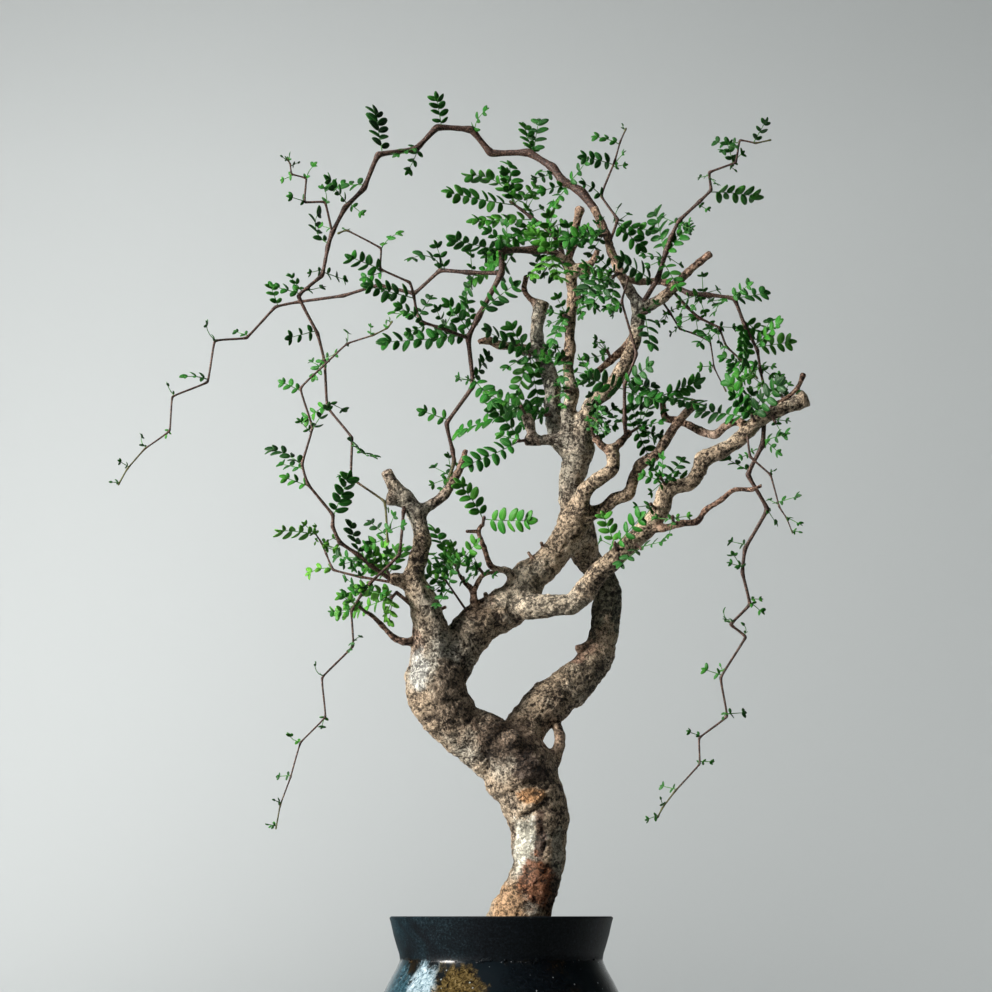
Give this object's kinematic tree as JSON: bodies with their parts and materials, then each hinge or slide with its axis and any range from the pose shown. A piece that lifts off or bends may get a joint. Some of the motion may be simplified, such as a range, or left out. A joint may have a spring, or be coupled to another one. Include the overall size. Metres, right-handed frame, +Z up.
{
  "type": "commiphora bonsai tree in a pot",
  "caption": "Thick-trunked commiphora bonsai with knobbly limbs, arching leafy shoots and small compound leaves, in a round dark glazed pot.",
  "frame": {"origin": "on the pot's axis, at the level its foot rests on", "axes": "+Z up along the pot's axis and the tree's height; +X to the right in the view from the front; the front faces -Y"},
  "size_m": [0.4879, 0.199, 0.7445],
  "materials": {
    "glazed_pot": "gloss",
    "mesh_screen": "matte",
    "gritty_soil": "matte",
    "bark": "matte",
    "leaf": "satin"
  },
  "bodies": {
    "root": {"pot": "glazed_pot", "drain_screen": "mesh_screen", "soil": "gritty_soil", "wood": "bark", "shoot_arch": "leaf", "shoot_crown_down": "leaf", "shoot_far_left": "leaf", "shoot_centre_left": "leaf", "shoot_upper_left": "leaf", "shoot_left_climber": "leaf", "shoot_low_left": "leaf", "shoot_left_hanging": "leaf", "shoot_right_hanging": "leaf", "shoot_right_thin": "leaf", "shoot_top": "leaf", "shoot_up_right": "leaf", "shoot_right_zigzag": "leaf", "shoot_right_inner": "leaf", "shoot_right_slim": "leaf", "shoot_pale_riser": "leaf", "shoot_crown_left": "leaf", "spray_stub_end": "leaf", "spray_stub_top": "leaf", "spray_pale_middle": "leaf", "spray_pale_low": "leaf", "spray_middle_high": "leaf", "spray_middle_right": "leaf", "spray_middle_low": "leaf", "spray_middle_foot": "leaf", "spray_arch_foot": "leaf", "spray_arch_side": "leaf", "spray_arch_side_knob": "leaf", "spray_inner_arm": "leaf", "spray_outer_arm": "leaf", "spray_mid_limb": "leaf", "spray_side_one": "leaf", "spray_side_two": "leaf", "spray_side_three": "leaf", "spray_side_four": "leaf", "spray_low_twig": "leaf", "spray_tip_big": "leaf", "spray_tip_twig": "leaf", "spray_tip_under": "leaf", "spray_slant_thin": "leaf", "spray_wye_left": "leaf", "spray_wye_right": "leaf", "spray_arm_end": "leaf", "spray_red_knob": "leaf", "spray_thin_left": "leaf", "spray_low_left": "leaf", "spray_crown_front": "leaf", "spray_crown_right": "leaf", "spray_arch_middle": "leaf", "spray_arch_right": "leaf", "spray_crown_middle": "leaf"}
  },
  "joints": []
}
